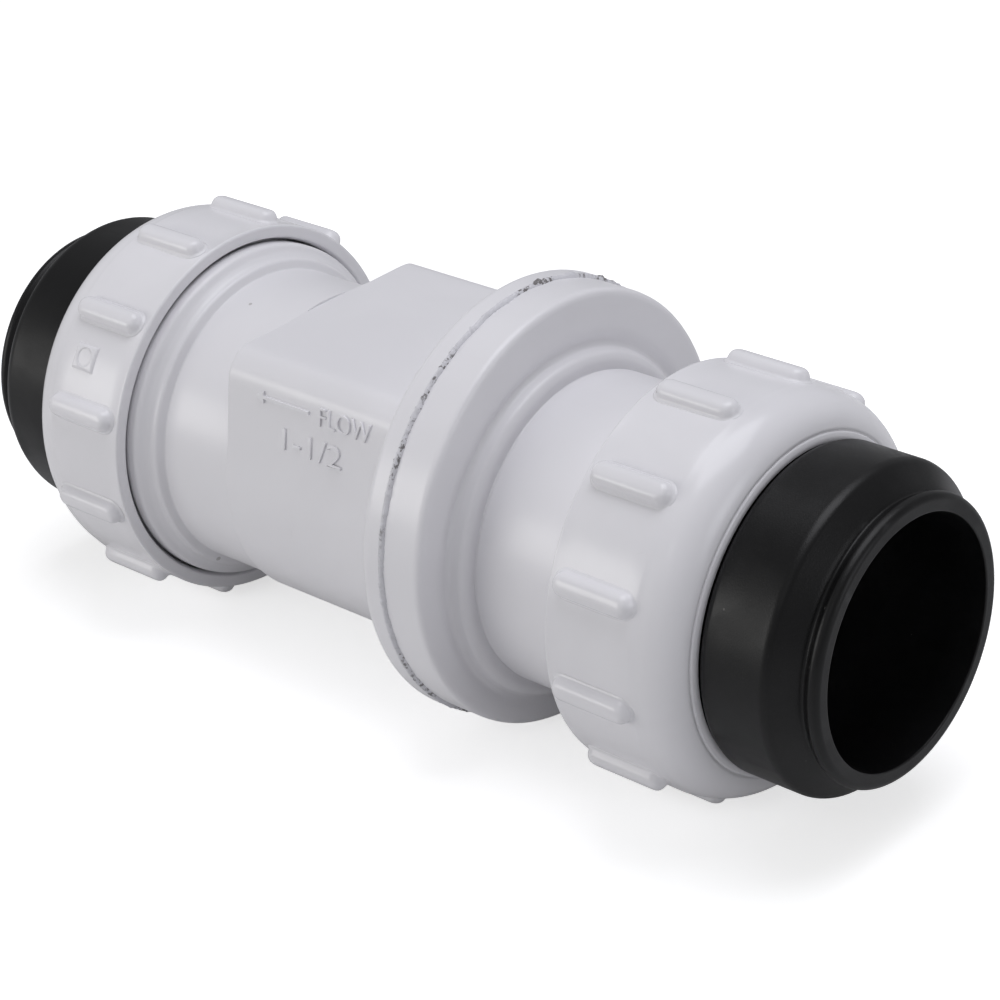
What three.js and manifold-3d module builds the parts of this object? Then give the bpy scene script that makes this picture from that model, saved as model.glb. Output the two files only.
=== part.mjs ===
// In-line swing check valve with compression ends, in millimetres.
// X runs along the pipe towards the inlet, Z points up out of the flat top.
import * as THREE from 'three';
import { mergeVertices } from 'three/addons/utils/BufferGeometryUtils.js';
import Module from 'manifold-3d';

const wasm = await Module();
wasm.setup();

// ---------------------------------------------------------------- driving sizes
const FACETS = 40;
const GAP = 0.3;
const BORE_R = 20.4;
const SOCKET_R = 25;
const NECK_R = 31.5;
const PIPE_STOP_X = 44;

const FLANGE_LIFT = 3;
const FLANGE_R = 43.8;
const SEAM_X = 18.9;
const DISC_FACE_X = 28.2;
const SPIGOT_R = 39.3;

const CHAMBER_X = -33;
const CHAMBER_WALL = 3.2;
const CHAMBER = { round: 32.4, top: 30.9, halfTop: 24.3, halfSide: 28.1, sideZ: 27.4 };
const CAVITY = { round: 29.2, top: 27.7, halfTop: 22.6, halfSide: 25.5, sideZ: 25 };
const CONE_X = [6.3, 14.8];

const COLLARS = [[52.2, NECK_R], [52.9, 33.3], [54.2, 33.5], [55.3, 34.7], [56.1, 36], [59.2, 36]];
const THREAD_PITCH = 5;
const THREAD_ROOT_R = 34;
const BODY_END_X = 77.4;
const GASKET_SEAT_X = 64.8;
const GASKET_SEAT_R = 28.4;

const NUT_FACE_X = 57.6;
const NUT_MOUTH_X = 86.3;
const NUT_R = 39.8;
const NUT_MOUTH_R = 31;
const NUT_BORE_R = 36.4;
const NUT_DOME_X = 76.6;
const RIB_COUNT = 12;
const RIB_R = 2.7;
const RIB_SPAN = [59.3, 77.2];
const RIB_PHASE = { inlet: 99.2, outlet: 102.5 };

const SLEEVE_BORE_R = 24.4;
const SLEEVE_END_X = 109.4;

const SEAT_X = 13.6;
const SEAT_R = 19;
const SEAT_BOSS_R = 22.9;
const PIN = { x: 12.5, z: 26, r: 1.5 };
const PIN_HOLE_R = 1.62;
const FLAP_R = 22.3;
const PLATE_R = 20.5;
const EAR_Y = [6.2, 8.7];
const BRACKET_X = [16.6, 17.9];
const BRACKET_SCREW = { y: 3.1, z: 32.6 };

const PLASTIC = { color: 0xe4e4ea, roughness: 0.38, metalness: 0 };
const RUBBER = { color: 0x141416, roughness: 0.62, metalness: 0 };
const STEEL = { color: 0xb9bcc0, roughness: 0.28, metalness: 1 };
const ACETAL = { color: 0xd8d6cd, roughness: 0.45, metalness: 0 };

// ---------------------------------------------------------------- helpers
function solid(geometry) {
  const bare = geometry.clone();
  bare.deleteAttribute('normal');
  bare.deleteAttribute('uv');
  const merged = mergeVertices(bare, 1e-4);
  const index = merged.index.array;
  const triVerts = [];
  for (let i = 0; i < index.length; i += 3) {
    const [a, b, c] = [index[i], index[i + 1], index[i + 2]];
    if (a !== b && b !== c && c !== a) triVerts.push(a, b, c);
  }
  const vertProperties = Float32Array.from(merged.attributes.position.array);
  return new wasm.Manifold(new wasm.Mesh({ numProp: 3, vertProperties, triVerts: Uint32Array.from(triVerts) }));
}

function union(parts) {
  return parts.reduce((sum, part) => sum.add(part));
}

function cut(base, tools) {
  return tools.reduce((rest, tool) => rest.subtract(tool), base);
}

// A closed outline of [x, radius] points, turned about the X axis.
function turned(outline, lift = 0, facets = FACETS) {
  const points = outline.map(([x, r]) => new THREE.Vector2(r, x));
  points.push(points[0].clone());
  if (THREE.ShapeUtils.area(points) < 0) points.reverse();
  const geometry = new THREE.LatheGeometry(points, facets);
  geometry.rotateZ(-Math.PI / 2);
  geometry.translate(0, 0, lift);
  return solid(geometry);
}

function rod(x0, x1, r, facets = FACETS) {
  return turned([[x0, 0], [x0, r], [x1, r], [x1, 0]], 0, facets);
}

function mirrored(side, outline) {
  return outline.map(([x, r]) => [side * x, r]);
}

// An outline of [y, z] points, extruded along X.
function prism(outline, x0, x1) {
  const shape = new THREE.Shape(outline.map(([y, z]) => new THREE.Vector2(y, z)));
  const geometry = new THREE.ExtrudeGeometry(shape, { depth: x1 - x0, bevelEnabled: false });
  const turn = new THREE.Matrix4().makeBasis(
    new THREE.Vector3(0, 1, 0), new THREE.Vector3(0, 0, 1), new THREE.Vector3(1, 0, 0));
  geometry.applyMatrix4(turn);
  geometry.translate(x0, 0, 0);
  return solid(geometry);
}

// An outline of [x, z] points, extruded along Y.
function slab(outline, y0, y1) {
  const shape = new THREE.Shape(outline.map(([x, z]) => new THREE.Vector2(x, z)));
  const geometry = new THREE.ExtrudeGeometry(shape, { depth: y1 - y0, bevelEnabled: false });
  geometry.rotateX(Math.PI / 2);
  geometry.translate(0, y1, 0);
  return solid(geometry);
}

function block(x, y, z) {
  const geometry = new THREE.BoxGeometry(x[1] - x[0], y[1] - y[0], z[1] - z[0]);
  geometry.translate((x[0] + x[1]) / 2, (y[0] + y[1]) / 2, (z[0] + z[1]) / 2);
  return solid(geometry);
}

function crossRod(x, z, y0, y1, r, facets = 24) {
  const geometry = new THREE.CylinderGeometry(r, r, y1 - y0, facets);
  geometry.translate(x, (y0 + y1) / 2, z);
  return solid(geometry);
}

// A cone along X whose centre also rises, from [x, radius, z] to [x, radius, z].
function leaningCone([x0, r0, z0], [x1, r1, z1]) {
  const geometry = new THREE.CylinderGeometry(r1, r0, x1 - x0, FACETS);
  geometry.rotateZ(-Math.PI / 2);
  geometry.translate((x0 + x1) / 2, 0, 0);
  const position = geometry.attributes.position;
  for (let i = 0; i < position.count; i++) {
    const share = (position.getX(i) - x0) / (x1 - x0);
    position.setZ(i, position.getZ(i) + z0 + share * (z1 - z0));
  }
  return solid(geometry);
}

// A helical ridge about X: right-handed, tapered to nothing at both ends.
function ridge(x0, turns, phase, [baseR, crestR], [baseW, crestW]) {
  const steps = Math.round(turns * 32);
  const runOut = 6;
  const position = [];
  const index = [];
  for (let i = 0; i <= steps; i++) {
    const angle = phase + (2 * Math.PI * turns * i) / steps;
    const x = x0 + (THREAD_PITCH * turns * i) / steps;
    const rise = Math.max(0.06, Math.min(1, i / runOut, (steps - i) / runOut));
    const top = baseR + (crestR - baseR) * rise;
    const ring = [[-baseW / 2, baseR], [-crestW / 2, top], [crestW / 2, top], [baseW / 2, baseR]];
    for (const [dx, r] of ring) position.push(x + dx, r * Math.cos(angle), r * Math.sin(angle));
  }
  for (let i = 0; i < steps; i++) {
    for (let j = 0; j < 4; j++) {
      const [a, b] = [4 * i + j, 4 * i + ((j + 1) % 4)];
      index.push(a, a + 4, b + 4, a, b + 4, b);
    }
  }
  const last = 4 * steps;
  index.push(0, 1, 2, 0, 2, 3, last, last + 2, last + 1, last, last + 3, last + 2);
  if (crestR < baseR) index.reverse();
  const geometry = new THREE.BufferGeometry();
  geometry.setAttribute('position', new THREE.Float32BufferAttribute(position, 3));
  geometry.setIndex(index);
  return solid(geometry);
}

// ---------------------------------------------------------------- the two body halves
// Flat top, two chamfers, drafted sides and a round bottom, as [y, z] points.
function chamberOutline({ round, top, halfTop, halfSide, sideZ }) {
  const reach = Math.hypot(halfSide, sideZ);
  const start = Math.atan2(sideZ, halfSide) - Math.acos(round / reach);
  const outline = [[halfSide, sideZ], [halfTop, top], [-halfTop, top], [-halfSide, sideZ]];
  const steps = 26;
  for (let i = 0; i <= steps; i++) {
    const angle = Math.PI - start + ((Math.PI + 2 * start) * i) / steps;
    outline.push([round * Math.cos(angle), round * Math.sin(angle)]);
  }
  return outline;
}

// Neck, collars and the threaded end, as a solid bar without its bore.
function threadedEnd(side, from) {
  const outline = [[from, 0], [from, NECK_R], ...COLLARS, [59.7, THREAD_ROOT_R],
    [BODY_END_X - 0.8, THREAD_ROOT_R], [BODY_END_X, THREAD_ROOT_R - 0.8], [BODY_END_X, 0]];
  const start = side > 0 ? 62 : -75;
  const thread = ridge(start, 2.6, 0, [THREAD_ROOT_R - 0.4, 35.8], [2.8, 1.2]);
  return turned(mirrored(side, outline)).add(thread);
}

// Pipe socket and gasket seat, cut from the threaded end.
function endBore(side) {
  const outline = [[PIPE_STOP_X, 0], [PIPE_STOP_X, SOCKET_R], [GASKET_SEAT_X, SOCKET_R],
    [GASKET_SEAT_X, GASKET_SEAT_R], [BODY_END_X - 1.2, GASKET_SEAT_R], [BODY_END_X + 1, GASKET_SEAT_R + 2.2],
    [BODY_END_X + 1, 0]];
  return turned(mirrored(side, outline));
}

function flowArrow() {
  const arrow = [[-24.6, 0], [-21.6, 1.5], [-21.6, 0.45], [-9.9, 0.45], [-9.9, -0.45], [-21.6, -0.45], [-21.6, -1.5]];
  const outline = arrow.map(([x, z]) => [x, z + 24.2]);
  return slab(outline, -29.4, -28);
}

function outletBody() {
  const chamber = prism(chamberOutline(CHAMBER), CHAMBER_X, SEAM_X - 6);
  const cone = leaningCone([CONE_X[0], CHAMBER.round, 0], [CONE_X[1], FLANGE_R + 0.4, FLANGE_LIFT]);
  const rim = turned([[CONE_X[1] - 0.1, 0], [CONE_X[1] - 0.1, 44.2], [17.9, 44.2], [SEAM_X - 0.15, 42.6],
    [SEAM_X - 0.15, 0]], FLANGE_LIFT);
  const shell = union([chamber, cone, rim, threadedEnd(-1, -CHAMBER_X - 1), flowArrow()]);
  const cavity = prism(chamberOutline(CAVITY), CHAMBER_X + CHAMBER_WALL, 12);
  const mouth = leaningCone([7, CAVITY.round, 0], [16, SPIGOT_R + GAP, FLANGE_LIFT]);
  const rimBore = turned([[15.9, 0], [15.9, SPIGOT_R + GAP], [20, SPIGOT_R + GAP], [20, 0]], FLANGE_LIFT);
  const passage = turned([[-29, 0], [-29, 26], [-40.5, 26], [-40.5, BORE_R], [-45, BORE_R], [-45, 0]]);
  return cut(shell, [cavity, mouth, rimBore, passage, endBore(-1)]);
}

function inletBody() {
  const rim = turned([[SEAM_X + 0.15, 0], [SEAM_X + 0.15, 42.6], [19.7, FLANGE_R], [27.4, FLANGE_R],
    [DISC_FACE_X, FLANGE_R - 0.8], [DISC_FACE_X, 0]], FLANGE_LIFT);
  const face = turned([[27.9, 0], [27.9, 40], [30.3, 35.6], [31.8, 34.9], [32.6, 33.4], [32.8, NECK_R], [32.8, 0]]);
  const spigot = turned([[16.4, 0], [16.4, SPIGOT_R - 0.5], [16.9, SPIGOT_R], [20, SPIGOT_R], [20, 0]], FLANGE_LIFT);
  const shell = union([rim, face, spigot, threadedEnd(1, 32)]);
  const hollow = turned([[16, 0], [16, 36.8], [23.5, 36.8], [23.5, 0]], FLANGE_LIFT);
  const boss = turned([[SEAT_X, SEAT_R - 1], [SEAT_X, SEAT_BOSS_R - 0.6], [SEAT_X + 0.6, SEAT_BOSS_R],
    [24, SEAT_BOSS_R], [24, SEAT_R - 1]]);
  const pad = block([BRACKET_X[1] + GAP, 24], [-12, 12], [25, 36.4]);
  const lug = block([22, 24], [-12, 12], [20, 26]);
  const passage = turned([[SEAT_X - 1, 0], [SEAT_X - 1, SEAT_R + 1.8], [SEAT_X + 0.8, SEAT_R], [24, SEAT_R], [28, BORE_R],
    [45, BORE_R], [45, 0]]);
  const holes = [-1, 1].map((s) => rod(17, 22.6, 1.7, 16).translate([0, s * BRACKET_SCREW.y, BRACKET_SCREW.z]));
  return cut(union([shell.subtract(hollow), boss, pad, lug]), [passage, endBore(1), ...holes]);
}

function seamBead() {
  const outline = [[SEAM_X, 43.4], [SEAM_X - 0.35, 44.3], [SEAM_X, 44.65], [SEAM_X + 0.35, 44.3]];
  return turned(outline, FLANGE_LIFT);
}

// ---------------------------------------------------------------- hinge and flap
function earOutline() {
  const outline = [[BRACKET_X[1], 25.6], [15.9, 25.4]];
  for (let i = 0; i <= 9; i++) {
    const angle = -0.3 - (i * (Math.PI + 0.9)) / 9;
    outline.push([PIN.x + 3.3 * Math.cos(angle), PIN.z + 3.3 * Math.sin(angle)]);
  }
  outline.push([BRACKET_X[1], 35]);
  return outline;
}

function hingeBracket() {
  const base = block(BRACKET_X, [-11.4, 11.4], [25.6, 36]);
  const ears = [slab(earOutline(), -EAR_Y[1], -EAR_Y[0]), slab(earOutline(), EAR_Y[0], EAR_Y[1])];
  const pinHole = crossRod(PIN.x, PIN.z, -10, 10, PIN_HOLE_R);
  const holes = [-1, 1].map((s) => rod(16, 18.5, 1.7, 16).translate([0, s * BRACKET_SCREW.y, BRACKET_SCREW.z]));
  return cut(union([base, ...ears]), [pinHole, ...holes]);
}

function bracketScrew(side) {
  const outline = [[14.7, 0], [14.7, 1.5], [15.2, 2.2], [16.3, 2.3], [16.3, 1.4], [21.6, 1.4], [22.3, 0.6], [22.3, 0]];
  const slot = block([14, 15.3], [-0.35, 0.35], [-3, 3]);
  return turned(outline, 0, 16).subtract(slot).translate([0, side * BRACKET_SCREW.y, BRACKET_SCREW.z]);
}

function hingePin() {
  const shaft = crossRod(PIN.x, PIN.z, -9.5, 9, PIN.r);
  const head = crossRod(PIN.x, PIN.z, -10.3, -9, 2.5);
  const groove = crossRod(PIN.x, PIN.z, 8.9, 10, 1.1);
  const tip = crossRod(PIN.x, PIN.z, 9.9, 10.8, PIN.r);
  return union([shaft, head, groove, tip]);
}

function pinClip() {
  const disc = crossRod(PIN.x, PIN.z, 9.3, 9.6, 3.1);
  const hole = crossRod(PIN.x, PIN.z, 9, 10, 1.4);
  const mouth = block([PIN.x - 1.2, PIN.x + 1.2], [9, 10], [PIN.z, PIN.z + 4]);
  return cut(disc, [hole, mouth]);
}

function flapPlate() {
  const disc = turned([[7.2, 0], [7.2, PLATE_R - 0.8], [8, PLATE_R], [10, PLATE_R], [10, 0]]);
  const boss = turned([[5.2, 0], [5.2, 5.6], [7.3, 6.6], [7.3, 0]], 0, 24);
  const arm = slab([[7.4, 14], [10, 14], [10, 22.7], [PIN.x, 22.95], [PIN.x, 29], [9.7, 27.5], [7.4, 19.5]], -5.6, 5.6);
  const knuckle = crossRod(PIN.x, PIN.z, -5.8, 5.8, 3.1);
  const stopRib = slab([[7.3, 10], [4.1, 11.4], [4.1, 15], [7.3, 17]], -1.6, 1.6);
  const webs = [-1, 1].map((s) => slab([[7.3, -14], [5.9, -12.6], [5.9, 12.6], [7.3, 14]], s * 9 - 0.8, s * 9 + 0.8));
  const pinHole = crossRod(PIN.x, PIN.z, -7, 7, PIN_HOLE_R);
  return cut(union([disc, boss, arm, knuckle, stopRib, ...webs]), [pinHole, rod(4, 12, 2.3, 24)]);
}

function flapSeal() {
  const outline = [[10.3, 2.3], [10.3, FLAP_R - 0.5], [10.8, FLAP_R], [12.8, FLAP_R], [13.3, FLAP_R - 0.5], [13.3, 2.3]];
  return turned(outline);
}

function flapWasher() {
  return turned([[13.6, 2.3], [13.6, 12], [14.2, 12], [14.7, 11.5], [14.7, 2.3]], 0, 36);
}

function flapScrew() {
  const outline = [[1.2, 0], [1.2, 1.4], [1.8, 2], [15, 2], [15, 4.2], [16.2, 4.2], [17.3, 3], [17.3, 0]];
  const slot = block([16.4, 18], [-5, 5], [-0.5, 0.5]);
  return turned(outline, 0, 24).subtract(slot);
}

function flapLocknut() {
  const hex = rod(1.9, 4.9, 4.04, 6);
  const collar = rod(4.1, 4.9, 4.4, 24);
  return hex.add(collar).subtract(rod(1, 6, 2.3, 24));
}

// ---------------------------------------------------------------- compression ends
// Rounded shoulder from the ribbed band down to the mouth.
function domePoints() {
  const points = [];
  for (let i = 0; i <= 4; i++) {
    const angle = (i * Math.PI) / 2 / 4.4;
    const x = NUT_DOME_X + (NUT_MOUTH_X - NUT_DOME_X) * Math.sin(angle);
    points.push([x, NUT_MOUTH_R + (NUT_R - NUT_MOUTH_R) * Math.cos(angle)]);
  }
  return points;
}

function nut(side, phase) {
  const outline = [[NUT_FACE_X, 37], [NUT_FACE_X, NUT_R - 0.7], [NUT_FACE_X + 0.7, NUT_R], ...domePoints(),
    [NUT_MOUTH_X, 31.6], [NUT_MOUTH_X, NUT_MOUTH_R], [83.4, NUT_MOUTH_R], [83.4, 34], [77.4, 34], [76.4, NUT_BORE_R],
    [59, NUT_BORE_R]];
  const shell = turned(mirrored(side, outline));
  const length = RIB_SPAN[1] - RIB_SPAN[0];
  const ribs = Array.from({ length: RIB_COUNT }, (_, i) => {
    const geometry = new THREE.CapsuleGeometry(RIB_R, length - 2 * RIB_R, 2, 8);
    geometry.rotateZ(Math.PI / 2);
    geometry.translate((side * (RIB_SPAN[0] + RIB_SPAN[1])) / 2, NUT_R - 0.5, 0);
    geometry.rotateX(THREE.MathUtils.degToRad(phase + (360 * i) / RIB_COUNT));
    return solid(geometry);
  });
  const grown = union([shell, ...ribs]);
  const bore = rod(Math.min(side * 58, side * 76), Math.max(side * 58, side * 76), NUT_BORE_R - 0.01);
  const start = side > 0 ? 62 : -75;
  const thread = ridge(start, 2.4, Math.PI, [NUT_BORE_R + 0.4, 34.5], [2.8, 1.2]);
  return grown.subtract(bore).add(thread);
}

function sleeve(side) {
  const outline = [[66.2, SLEEVE_BORE_R], [66.2, 27], [67.2, 28], [77.7, 28], [77.7, 33.2], [82, 33.2], [82, 30.5],
    [86.7, 30.5], [87, 31.6], [88, 32.1], [100.6, 32.1], [101.6, 31.8], [105.2, 27.9], [105.8, 27.1], [106.6, 27.3],
    [107.6, 28], [108.7, 27.8], [SLEEVE_END_X, 27], [SLEEVE_END_X, SLEEVE_BORE_R]];
  return turned(mirrored(side, outline));
}

function slipRing(side) {
  return turned(mirrored(side, [[82.3, 30.9], [82.3, 33.6], [83.1, 33.6], [83.1, 30.9]]));
}

// ---------------------------------------------------------------- assembly
function piece(name, body, look) {
  const out = body.getMesh();
  const geometry = new THREE.BufferGeometry();
  geometry.setAttribute('position', new THREE.Float32BufferAttribute(out.vertProperties, 3));
  geometry.setIndex(Array.from(out.triVerts));
  geometry.computeVertexNormals();
  const mesh = new THREE.Mesh(geometry, new THREE.MeshStandardMaterial(look));
  mesh.name = name;
  return mesh;
}

function group(name, pieces) {
  const holder = new THREE.Group();
  holder.name = name;
  holder.add(...pieces);
  return holder;
}

const shell = group('valve_shell', [
  piece('outlet_body', outletBody(), PLASTIC),
  piece('inlet_body', inletBody(), PLASTIC),
  piece('seam_bead', seamBead(), PLASTIC),
  piece('hinge_bracket', hingeBracket(), STEEL),
  piece('bracket_screw_a', bracketScrew(-1), STEEL),
  piece('bracket_screw_b', bracketScrew(1), STEEL),
  piece('hinge_pin', hingePin(), STEEL),
  piece('pin_clip', pinClip(), STEEL),
]);

const flap = group('flap_group', [
  piece('flap_plate', flapPlate(), PLASTIC),
  piece('flap_seal', flapSeal(), RUBBER),
  piece('flap_washer', flapWasher(), STEEL),
  piece('flap_screw', flapScrew(), STEEL),
  piece('flap_locknut', flapLocknut(), STEEL),
]);

const ends = group('compression_ends', [
  piece('inlet_nut', nut(1, RIB_PHASE.inlet), PLASTIC),
  piece('inlet_sleeve', sleeve(1), RUBBER),
  piece('inlet_slip_ring', slipRing(1), ACETAL),
  piece('outlet_nut', nut(-1, RIB_PHASE.outlet), PLASTIC),
  piece('outlet_sleeve', sleeve(-1), RUBBER),
  piece('outlet_slip_ring', slipRing(-1), ACETAL),
]);

export default group('check_valve', [shell, flap, ends]);
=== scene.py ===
"""In-line swing check valve with compression ends: the finished surfaces and the studio."""
import math

import bmesh
import bpy
import numpy as np
from mathutils import Matrix, Vector


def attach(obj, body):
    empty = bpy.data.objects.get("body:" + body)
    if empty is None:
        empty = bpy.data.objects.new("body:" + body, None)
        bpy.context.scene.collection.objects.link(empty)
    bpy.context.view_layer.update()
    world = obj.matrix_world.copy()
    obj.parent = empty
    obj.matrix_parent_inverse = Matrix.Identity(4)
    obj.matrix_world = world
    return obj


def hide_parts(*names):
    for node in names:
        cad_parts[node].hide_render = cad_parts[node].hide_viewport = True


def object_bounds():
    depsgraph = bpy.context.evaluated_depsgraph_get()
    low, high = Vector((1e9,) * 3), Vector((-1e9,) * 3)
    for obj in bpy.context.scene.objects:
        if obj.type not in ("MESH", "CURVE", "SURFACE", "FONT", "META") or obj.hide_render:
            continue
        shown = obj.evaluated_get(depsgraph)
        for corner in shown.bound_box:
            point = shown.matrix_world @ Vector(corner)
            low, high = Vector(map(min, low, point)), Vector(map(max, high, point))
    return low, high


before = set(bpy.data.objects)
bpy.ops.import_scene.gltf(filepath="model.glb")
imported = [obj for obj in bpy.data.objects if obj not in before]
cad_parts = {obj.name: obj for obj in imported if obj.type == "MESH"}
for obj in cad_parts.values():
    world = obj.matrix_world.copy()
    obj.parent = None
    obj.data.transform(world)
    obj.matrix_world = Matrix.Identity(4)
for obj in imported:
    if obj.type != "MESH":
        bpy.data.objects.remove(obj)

cad_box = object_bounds()
MM = 0.001
TURN = 2 * math.pi

# ------------------------------------------------------------------ driving sizes, in millimetres
NECK_R = 31.5
FLANGE_LIFT = 3.0        # the flange's centre stands this far above the pipe axis
RIM_R, DISC_R = 44.5, 43.8
SPIGOT_R, RIM_BORE_R = 39.3, 39.6
SEAM_X = 21.6
SEAM_GAP = 0.15          # from the seam to the edge of each half
DISC_FACE_X = 30.9
CHAMBER_X = 33.0
CHAMBER = dict(round_r=32.4, top=30.9, half_top=24.3, half_side=28.1, side_z=27.4)
CAVITY = dict(round_r=29.2, top=27.7, half_top=22.6, half_side=25.5, side_z=25.0)
PORT_R, SOCKET_R = 20.4, 25.0
SOCKET_X = (44.0, 64.8)  # the pipe's stop, and where the socket widens for the sleeve
THREAD_PITCH = 5.0
THREAD_ROOT_R, THREAD_HEIGHT = 34.0, 1.8
THREAD_START = {1: 62.0, -1: -75.0}
RIB_COUNT = 12
RIB_SPAN = (59.3, 77.2)
NUT_R = 39.8
NUT_X = (57.6, 86.3)
PANEL_DISTANCE = CHAMBER["round_r"]
LETTER_PROUD = 0.42
ARROW_UP = 19.0


# ------------------------------------------------------------------ camera
def product_camera():
    """The camera at the catalogue's viewing angle, tilted a little."""
    azimuth, elevation, roll = (math.radians(a) for a in (43.99, 28.14, -4.55))
    back = Vector((math.sin(azimuth) * math.cos(elevation), -math.cos(azimuth) * math.cos(elevation),
                   math.sin(elevation)))
    right = (-back).cross(Vector((0, 0, 1))).normalized()
    up = right.cross(-back)
    tilted_right = right * math.cos(roll) + up * math.sin(roll)
    tilted_up = up * math.cos(roll) - right * math.sin(roll)
    data = bpy.data.cameras.new("product_camera")
    data.lens, data.sensor_width = 107.57, 36.0
    camera = bpy.data.objects.new("product_camera", data)
    bpy.context.scene.collection.objects.link(camera)
    axes = Matrix((tilted_right, tilted_up, back)).transposed().to_4x4()
    camera.matrix_world = Matrix.Translation(Vector((373.684, -375.398, 278.063)) * MM) @ axes
    bpy.context.scene.camera = camera


# ------------------------------------------------------------------ effects shared by the finishes
def effect_group(name, inputs, outputs):
    """A shader node group with named inputs (label, kind, default) and outputs (label, kind)."""
    tree = bpy.data.node_groups.new(name, "ShaderNodeTree")
    for label, kind, default in inputs:
        socket = tree.interface.new_socket(label, in_out="INPUT", socket_type="NodeSocket" + kind)
        if default is not None:
            socket.default_value = default
    for label, kind in outputs:
        tree.interface.new_socket(label, in_out="OUTPUT", socket_type="NodeSocket" + kind)
    return tree, tree.nodes.new("NodeGroupInput"), tree.nodes.new("NodeGroupOutput")


def node(tree, kind, settings=None, **values):
    """A node whose settings are attributes and whose values set or link its sockets by label."""
    made = tree.nodes.new(kind)
    for key, value in (settings or {}).items():
        setattr(made, key, value)
    for key, value in values.items():
        numbered = key[0] == "i" and key[1:].isdigit()
        socket = made.inputs[int(key[1:]) if numbered else key.replace("_", " ")]
        if isinstance(value, bpy.types.NodeSocket):
            tree.links.new(value, socket)
        else:
            socket.default_value = value
    return made


def math_node(tree, operation, a, b=0.0, clamp=False):
    return node(tree, "ShaderNodeMath", dict(operation=operation, use_clamp=clamp), i0=a, i1=b).outputs[0]


def band(tree, value, low, high):
    """0 below low, 1 above high, and smooth between."""
    return node(tree, "ShaderNodeMapRange", dict(interpolation_type="SMOOTHSTEP"),
                Value=value, From_Min=low, From_Max=high).outputs[0]


def moulding_grain():
    """Height of a moulded skin: slow waviness from shrinkage, and the fine texture of the mould."""
    tree, given, out = effect_group(
        "moulding_grain",
        [("Vector", "Vector", None), ("Grain Scale", "Float", 1800.0), ("Grain", "Float", 0.25),
         ("Wave Scale", "Float", 70.0), ("Wave", "Float", 1.0)],
        [("Height", "Float")])
    fine = node(tree, "ShaderNodeTexNoise", Vector=given.outputs["Vector"], Scale=given.outputs["Grain Scale"],
                Detail=3.0, Roughness=0.6)
    slow = node(tree, "ShaderNodeTexNoise", Vector=given.outputs["Vector"], Scale=given.outputs["Wave Scale"],
                Detail=1.0)
    grain = math_node(tree, "MULTIPLY", fine.outputs[0], given.outputs["Grain"])
    wave = math_node(tree, "MULTIPLY", slow.outputs[0], given.outputs["Wave"])
    tree.links.new(math_node(tree, "ADD", grain, wave), out.inputs["Height"])
    return tree


def handling_marks():
    """Smudges and hair scratches from packing and handling, as two masks."""
    tree, given, out = effect_group(
        "handling_marks",
        [("Vector", "Vector", None), ("Smudge Scale", "Float", 45.0), ("Scratch Scale", "Float", 160.0),
         ("Scratch Width", "Float", 0.012)],
        [("Smudges", "Float"), ("Scratches", "Float")])
    smudge = node(tree, "ShaderNodeTexNoise", Vector=given.outputs["Vector"], Scale=given.outputs["Smudge Scale"],
                  Detail=4.0, Distortion=0.6)
    tree.links.new(band(tree, smudge.outputs[0], 0.42, 0.66), out.inputs["Smudges"])
    bent = node(tree, "ShaderNodeMapping", Vector=given.outputs["Vector"], Scale=(0.25, 1.0, 1.0),
                Rotation=(0.4, 0.7, 0.3))
    cells = node(tree, "ShaderNodeTexVoronoi", dict(feature="DISTANCE_TO_EDGE"), Vector=bent.outputs[0],
                 Scale=given.outputs["Scratch Scale"])
    near = node(tree, "ShaderNodeMapRange", Value=cells.outputs["Distance"], From_Min=0.0,
                From_Max=given.outputs["Scratch Width"], To_Min=1.0, To_Max=0.0)
    patch = node(tree, "ShaderNodeTexNoise", Vector=given.outputs["Vector"], Scale=140.0, Detail=1.0)
    rare = band(tree, patch.outputs[0], 0.60, 0.68)
    tree.links.new(math_node(tree, "MULTIPLY", near.outputs[0], rare), out.inputs["Scratches"])
    return tree


def resin_specks():
    """Rare dark specks of burnt resin, each a rounded dot of its own size."""
    tree, given, out = effect_group(
        "resin_specks",
        [("Vector", "Vector", None), ("Scale", "Float", 170.0), ("Size", "Float", 0.05), ("Share", "Float", 0.1)],
        [("Mask", "Float")])
    cells = node(tree, "ShaderNodeTexVoronoi", Vector=given.outputs["Vector"], Scale=given.outputs["Scale"])
    pick = node(tree, "ShaderNodeSeparateColor", Color=cells.outputs["Color"])
    chosen = math_node(tree, "LESS_THAN", pick.outputs[0], given.outputs["Share"])
    radius = math_node(tree, "MULTIPLY", pick.outputs[1], given.outputs["Size"])
    inside = math_node(tree, "LESS_THAN", cells.outputs["Distance"], radius)
    tree.links.new(math_node(tree, "MULTIPLY", chosen, inside), out.inputs["Mask"])
    return tree


def edge_wear_and_highlight():
    """Where a corner stands out, broken up by noise: handling wear on the rubber, and a painted edge highlight on the
    white plastic.
    """
    tree, given, out = effect_group(
        "edge_wear_and_highlight",
        [("Vector", "Vector", None), ("Low", "Float", 0.52), ("High", "Float", 0.60), ("Breakup", "Float", 90.0)],
        [("Mask", "Float")])
    shape = tree.nodes.new("ShaderNodeNewGeometry")
    noise = node(tree, "ShaderNodeTexNoise", Vector=given.outputs["Vector"], Scale=given.outputs["Breakup"],
                 Detail=4.0)
    sharp = node(tree, "ShaderNodeMapRange", Value=shape.outputs["Pointiness"], From_Min=given.outputs["Low"],
                 From_Max=given.outputs["High"])
    broken = band(tree, noise.outputs[0], 0.35, 0.60)
    tree.links.new(math_node(tree, "MULTIPLY", sharp.outputs[0], broken, clamp=True), out.inputs["Mask"])
    return tree


GRAIN, MARKS, SPECKS, EDGE_WEAR_AND_HIGHLIGHT = moulding_grain(), handling_marks(), resin_specks(), edge_wear_and_highlight()


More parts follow.
